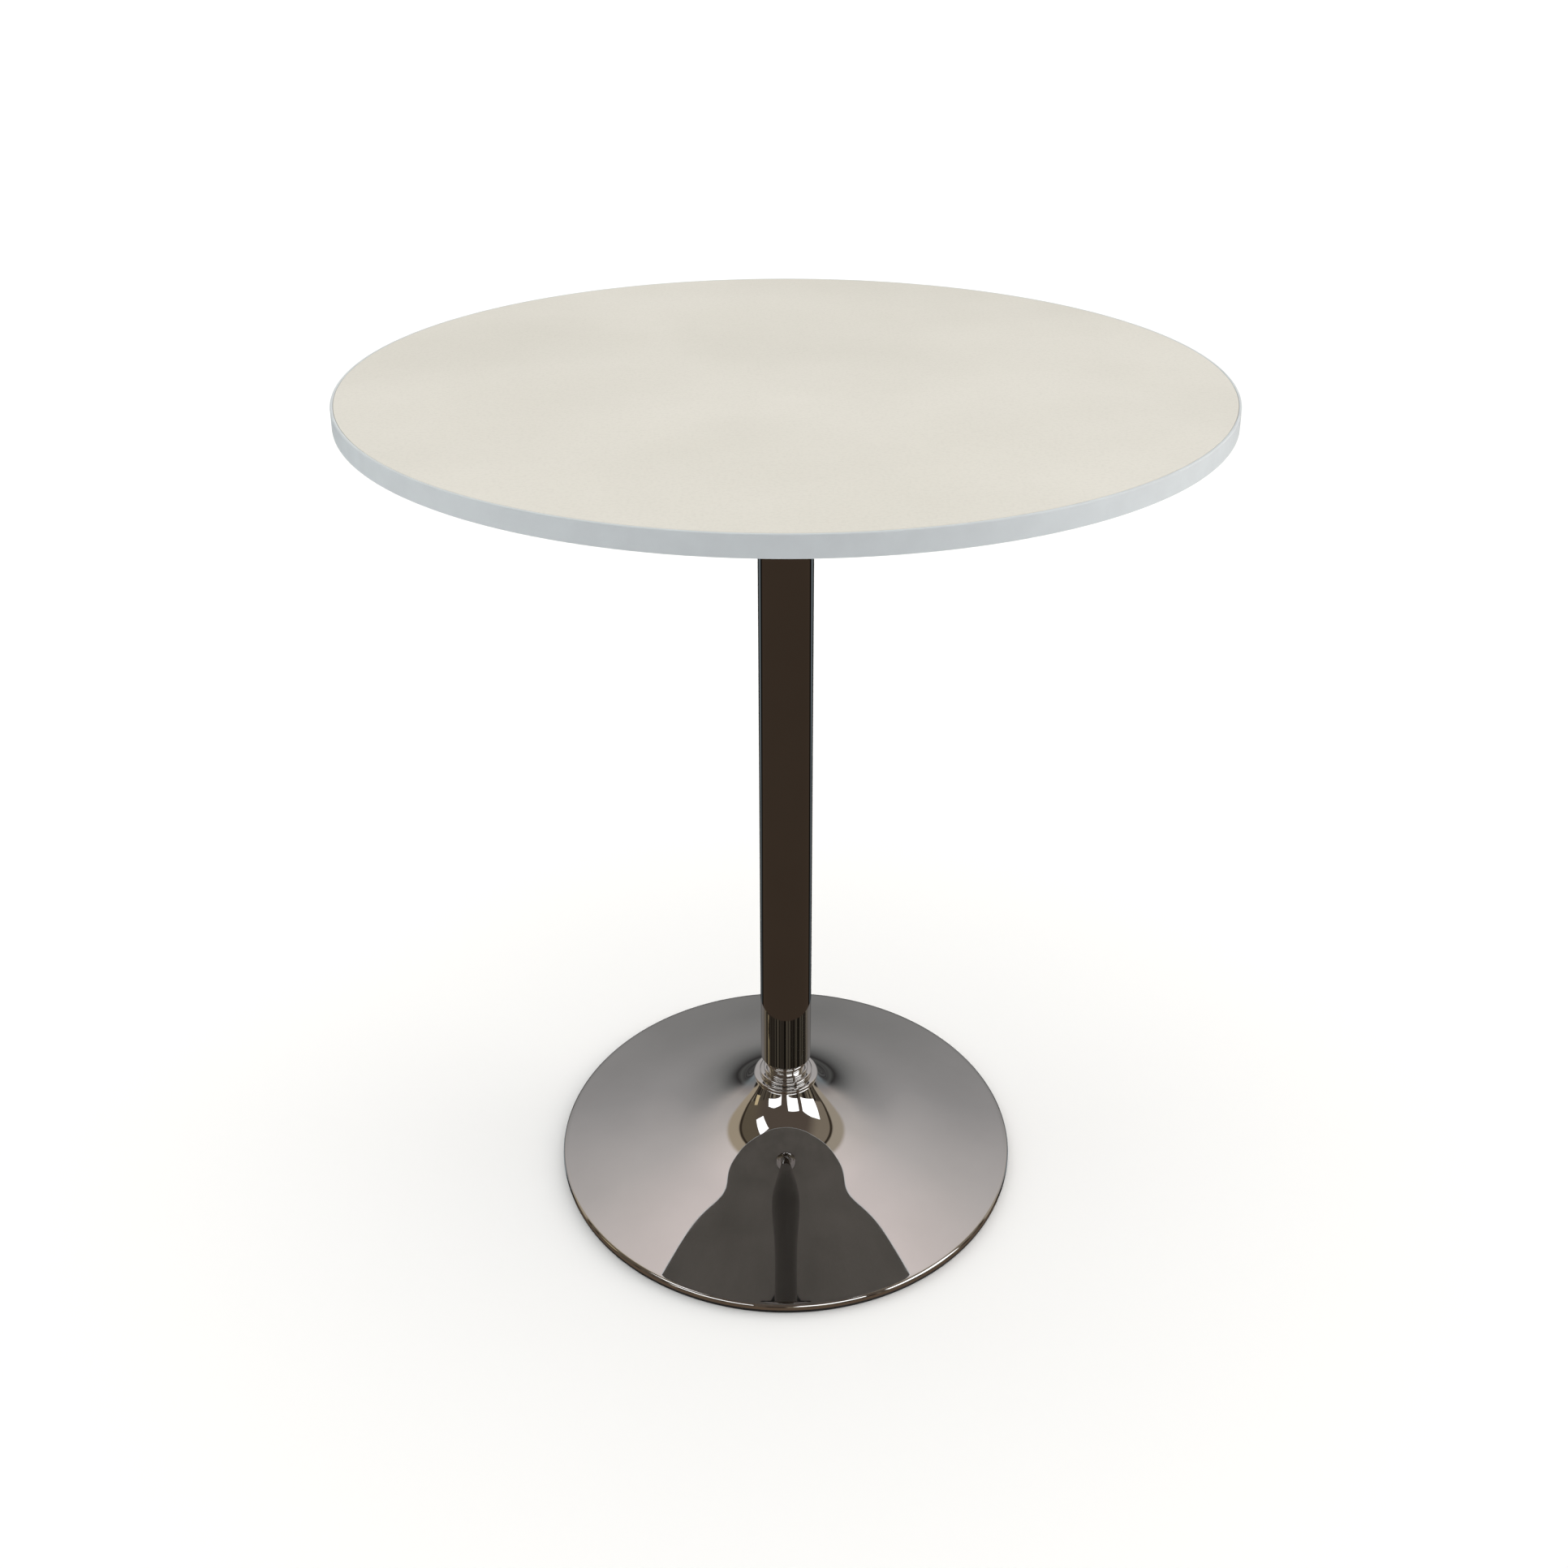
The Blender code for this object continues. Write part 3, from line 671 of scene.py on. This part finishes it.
def build_cover(look):
    """The pressed cover: a sheet with two round stiffening beads and four screw holes."""
    radius, bottom, top = extent("bottom_cover")
    wall = top - bottom
    bead_depth = 0.8 * MM
    bead_half = 5.0 * MM
    screw_circle = 150.0 * MM
    screw_hole = 2.1 * MM
    lower = [(0.0, bottom)]
    for middle in (60.0 * MM, 115.0 * MM):
        for step in range(13):
            share = step / 12.0
            drop = bead_depth * 0.5 * (1.0 - math.cos(math.tau * share))
            lower.append((middle + bead_half * (2.0 * share - 1.0), bottom - drop))
    lower += corner_arc(radius, bottom, 0.4 * MM, -90.0, 3)
    upper = [(place, height + wall) for place, height in lower if place < radius - wall]
    outline = lower + corner_arc(radius, top, 0.3 * MM, 0.0, 2) + upper[::-1]
    work = turned(outline, FINE_FACETS, closed=False)
    places = circle_places(4, screw_circle, math.tau / 8.0)
    work = drill(work, places, screw_hole, bottom - MM, top + MM)
    finish_piece("bottom_cover_fine", work, look["cover"], "cover", "bottom_cover")


def build_floor_ring(look):
    """The moulded floor ring: a sole with three shallow grooves, and an upstand."""
    radius, bottom, top = extent("floor_ring")
    inner = 199.0 * MM
    upstand = 206.0 * MM
    sole_top = bottom + 2.4 * MM
    rounding = 0.6 * MM
    groove = 0.5 * MM
    outline = corner_arc(inner, bottom, 0.3 * MM, 180.0, 2)
    for middle in (202.0 * MM, 205.0 * MM, 208.0 * MM):
        outline += arc(middle, bottom - 0.1 * MM, groove, 168.0, 12.0, 5)
    outline += corner_arc(radius, bottom, rounding, -90.0, 4)
    outline += corner_arc(radius, sole_top, rounding, 0.0, 4)
    outline.append((upstand, sole_top))
    outline += corner_arc(upstand, top, 0.4 * MM, 0.0, 3)
    outline += corner_arc(inner, top, 0.4 * MM, 90.0, 3)
    work = turned(outline, FINE_FACETS)
    finish_piece("floor_ring_fine", work, look["rubber"], "rubber", "floor_ring")


# ---------------------------------------------------------------- studio
def build_floor():
    bpy.ops.mesh.primitive_circle_add(vertices=96, radius=FLOOR_RADIUS, fill_type="NGON")
    floor = bpy.context.object
    floor.name = "floor"
    material, nodes, shader, place = new_material("pale_floor")
    cloud = nodes.noise(place, 0.8, 3.0)
    nodes.feed(
        shader.inputs["Base Color"],
        nodes.ramp(cloud, [(0.3, (0.955, 0.965, 0.985)), (0.7, (0.968, 0.978, 0.998))]),
    )
    shader.inputs["Roughness"].default_value = 0.9
    shader.inputs["Specular IOR Level"].default_value = 0.0
    floor.data.materials.append(material)
    floor.visible_glossy = False


def band(nodes, value, low, high):
    """A smooth step from 0 at low to 1 at high."""
    node = nodes.add("ShaderNodeMapRange", interpolation_type="SMOOTHSTEP")
    for name, number in (("From Min", low), ("From Max", high)):
        node.inputs[name].default_value = number
    nodes.feed(node.inputs["Value"], value)
    return node.outputs["Result"]


def mirrored_room(nodes, bearing, across, back, up):
    """The colours that the polished metal mirrors, by direction; nothing else sees them.

    In front there is a brown room over a dark floor, behind a pale ceiling that comes
    down to a grey wall, and a tan strip stands between the two on either side.
    """
    level = nodes.math("SQRT", nodes.math("SUBTRACT", 1.0, nodes.math("MULTIPLY", up, up)))
    rearward = nodes.math("DIVIDE", back, nodes.math("MAXIMUM", level, 0.001))
    height = nodes.math("MULTIPLY_ADD", up, 0.5, 0.5)

    front_wall = (0.088, 0.068, 0.054, 1)
    left_flank = (0.110, 0.088, 0.060, 1)
    right_flank = (0.200, 0.165, 0.125, 1)
    flank = nodes.mix(band(nodes, across, -0.2, 0.2), left_flank, right_flank)
    wall = nodes.mix(band(nodes, rearward, -0.55, 0.0), front_wall, flank)
    slats = nodes.add(
        "ShaderNodeTexNoise", {"W": bearing, "Scale": 5.5, "Detail": 2.0}, noise_dimensions="1D"
    )
    furniture = nodes.ramp(
        slats.outputs["Fac"],
        [(0.40, (0.015, 0.012, 0.009)), (0.52, (0.085, 0.070, 0.053)), (0.62, (0.21, 0.18, 0.13))],
    )
    wall = nodes.mix(band(nodes, up, 0.32, 0.38), furniture, wall)

    side = nodes.ramp(
        height,
        [
            (0.28, (0.300, 0.355, 0.385)),
            (0.40, (0.160, 0.180, 0.190)),
            (0.52, (0.270, 0.245, 0.235)),
            (0.62, (0.380, 0.350, 0.330)),
            (0.75, (0.430, 0.400, 0.385)),
            (0.86, (0.500, 0.460, 0.440)),
            (0.94, (0.640, 0.575, 0.550)),
        ],
    )
    rear = nodes.ramp(
        height,
        [
            (0.36, (0.040, 0.038, 0.038)),
            (0.42, (0.075, 0.075, 0.072)),
            (0.46, (0.030, 0.028, 0.028)),
            (0.50, (0.075, 0.074, 0.073)),
            (0.55, (0.135, 0.135, 0.133)),
            (0.62, (0.215, 0.212, 0.208)),
            (0.75, (0.310, 0.300, 0.297)),
            (0.86, (0.480, 0.450, 0.440)),
            (0.94, (0.690, 0.615, 0.595)),
        ],
    )
    behind = nodes.mix(band(nodes, rearward, 0.70, 0.90), side, rear)

    rising = nodes.math("MULTIPLY", up, 0.28)
    falling = nodes.math("MULTIPLY", up, -0.66)
    lean = nodes.math("MAXIMUM", rising, falling)
    turn = nodes.math("SUBTRACT", rearward, lean)
    dark_line = (0.035, 0.026, 0.018, 1)
    tan = nodes.mix(
        band(nodes, across, -0.2, 0.2), (0.36, 0.30, 0.22, 1), (0.33, 0.285, 0.225, 1)
    )
    room = nodes.mix(band(nodes, turn, 0.04, 0.07), wall, dark_line)
    room = nodes.mix(band(nodes, turn, 0.10, 0.15), room, tan)
    low_front = nodes.mix(
        band(nodes, turn, 0.12, 0.22), (0.108, 0.075, 0.052, 1), (0.012, 0.010, 0.008, 1)
    )
    room = nodes.mix(band(nodes, up, -0.02, 0.03), low_front, room)
    return nodes.mix(band(nodes, turn, 0.32, 0.40), room, behind)


def build_world():
    """Soft studio surroundings: a pale backdrop, a soft sky that lights the table, and
    the room that the polished metal mirrors."""
    world = bpy.data.worlds.new("studio")
    bpy.context.scene.world = world
    world.use_nodes = True
    nodes = Nodes(world.node_tree)
    direction = nodes.add("ShaderNodeTexCoord").outputs["Generated"]
    split = nodes.add("ShaderNodeSeparateXYZ", {"Vector": direction})
    across, back, up = split.outputs

    # Light on matt surfaces: bright above and at both sides, most on the right, dim in front.
    bearing = nodes.math("ARCTAN2", across, nodes.math("MULTIPLY", back, -1.0))
    around = nodes.ramp(
        nodes.math("MULTIPLY_ADD", bearing, 1.0 / math.tau, 0.5),
        [
            (0.00, (1.10, 1.10, 1.10)),
            (0.17, (1.30, 1.30, 1.25)),
            (0.25, (3.20, 3.35, 3.20)),
            (0.33, (0.35, 0.35, 0.35)),
            (0.42, (0.02, 0.03, 0.04)),
            (0.67, (0.05, 0.06, 0.07)),
            (0.75, (7.00, 6.80, 6.40)),
            (0.83, (5.00, 4.40, 3.80)),
            (0.92, (1.50, 1.45, 1.40)),
            (1.00, (1.10, 1.10, 1.10)),
        ],
    )
    tilted = nodes.math("MULTIPLY_ADD", back, 0.3, up)
    sky = nodes.mix(band(nodes, tilted, 0.15, 0.75), around, (1.16, 1.14, 1.10, 1))

    room = mirrored_room(nodes, bearing, across, back, up)
    path = nodes.add("ShaderNodeLightPath").outputs
    colour = nodes.mix(path["Is Glossy Ray"], sky, room)
    colour = nodes.mix(path["Is Camera Ray"], colour, (1.0, 1.0, 1.0, 1))
    background = nodes.add("ShaderNodeBackground", {"Color": colour, "Strength": 1.0})
    output = nodes.add("ShaderNodeOutputWorld")
    nodes.feed(output.inputs["Surface"], background.outputs["Background"])


def emission_material(name, colour, strength):
    material = bpy.data.materials.new(name)
    material.use_nodes = True
    nodes = Nodes(material.node_tree)
    glow = nodes.add("ShaderNodeEmission", {"Color": (*colour, 1.0), "Strength": strength})
    output = nodes.add("ShaderNodeOutputMaterial")
    nodes.feed(output.inputs["Surface"], glow.outputs["Emission"])
    return material


def towards(bearing, elevation):
    """Direction for a bearing from the front, positive to the right, and an elevation."""
    a = math.radians(bearing)
    e = math.radians(elevation)
    return Vector((math.sin(a) * math.cos(e), -math.cos(a) * math.cos(e), math.sin(e)))


def build_card(name, corners, glow):
    """A bright panel that only the polished metal mirrors; corners are in degrees."""
    work = bmesh.new()
    work.faces.new([work.verts.new(CARD_DISTANCE * towards(*corner)) for corner in corners])
    mesh = bpy.data.meshes.new(name)
    work.to_mesh(mesh)
    work.free()
    mesh.materials.append(glow)
    card = bpy.data.objects.new(name, mesh)
    bpy.context.scene.collection.objects.link(card)
    card.visible_camera = False
    card.visible_diffuse = False
    card.visible_shadow = False


def build_cards():
    """Bright panels in front and at both sides, seen only as glints in the chrome."""
    white = emission_material("card_glow", (1.0, 1.0, 1.0), 1.7)
    warm = emission_material("card_warm", (0.55, 0.44, 0.26), 1.0)
    build_card("card_left_high", [(-79, 50), (-62, 46), (-52, 64), (-76, 66)], white)
    build_card("card_left", [(-52, 20), (-14, 21), (-14, 30), (-34, 34), (-49, 31)], white)
    build_card("card_middle", [(3, 21), (35, 21), (37, 38), (7, 39)], white)
    build_card("card_right", [(45, 19), (82, 18), (89, 48), (69, 47), (47, 38)], white)
    build_card("card_spot", [(53, 66), (57, 66), (58, 70), (52, 70)], white)
    build_card("card_lamp", [(-90, 12), (-80, 14), (-80, 27), (-87, 27)], warm)


def colour_cad_nodes(looks):
    """Gives every CAD node that stays visible its procedural finish."""
    slots = {row["node"]: row["material_slot"] for row in frame["record"]["subparts"]}
    for name, node in frame["nodes"].items():
        node.data.materials.clear()
        node.data.materials.append(looks[slots[name]])


def main():
    build_camera()
    build_floor()
    build_world()
    build_cards()
    looks = make_looks()
    colour_cad_nodes(looks)
    build_laminate(looks)
    build_band(looks)
    build_tube(looks)
    build_shell(looks)
    build_trim_ring(looks)
    build_collar(looks)
    build_flange(looks)
    build_screws(looks, "flange_screw", 6, 4.5 * MM, 2.6 * MM, 2.0 * MM)
    build_cover(looks)
    build_screws(looks, "cover_screw", 4, 3.6 * MM, 1.8 * MM, 1.8 * MM)
    build_floor_ring(looks)
    bpy.context.scene.view_settings.view_transform = "Standard"


main()
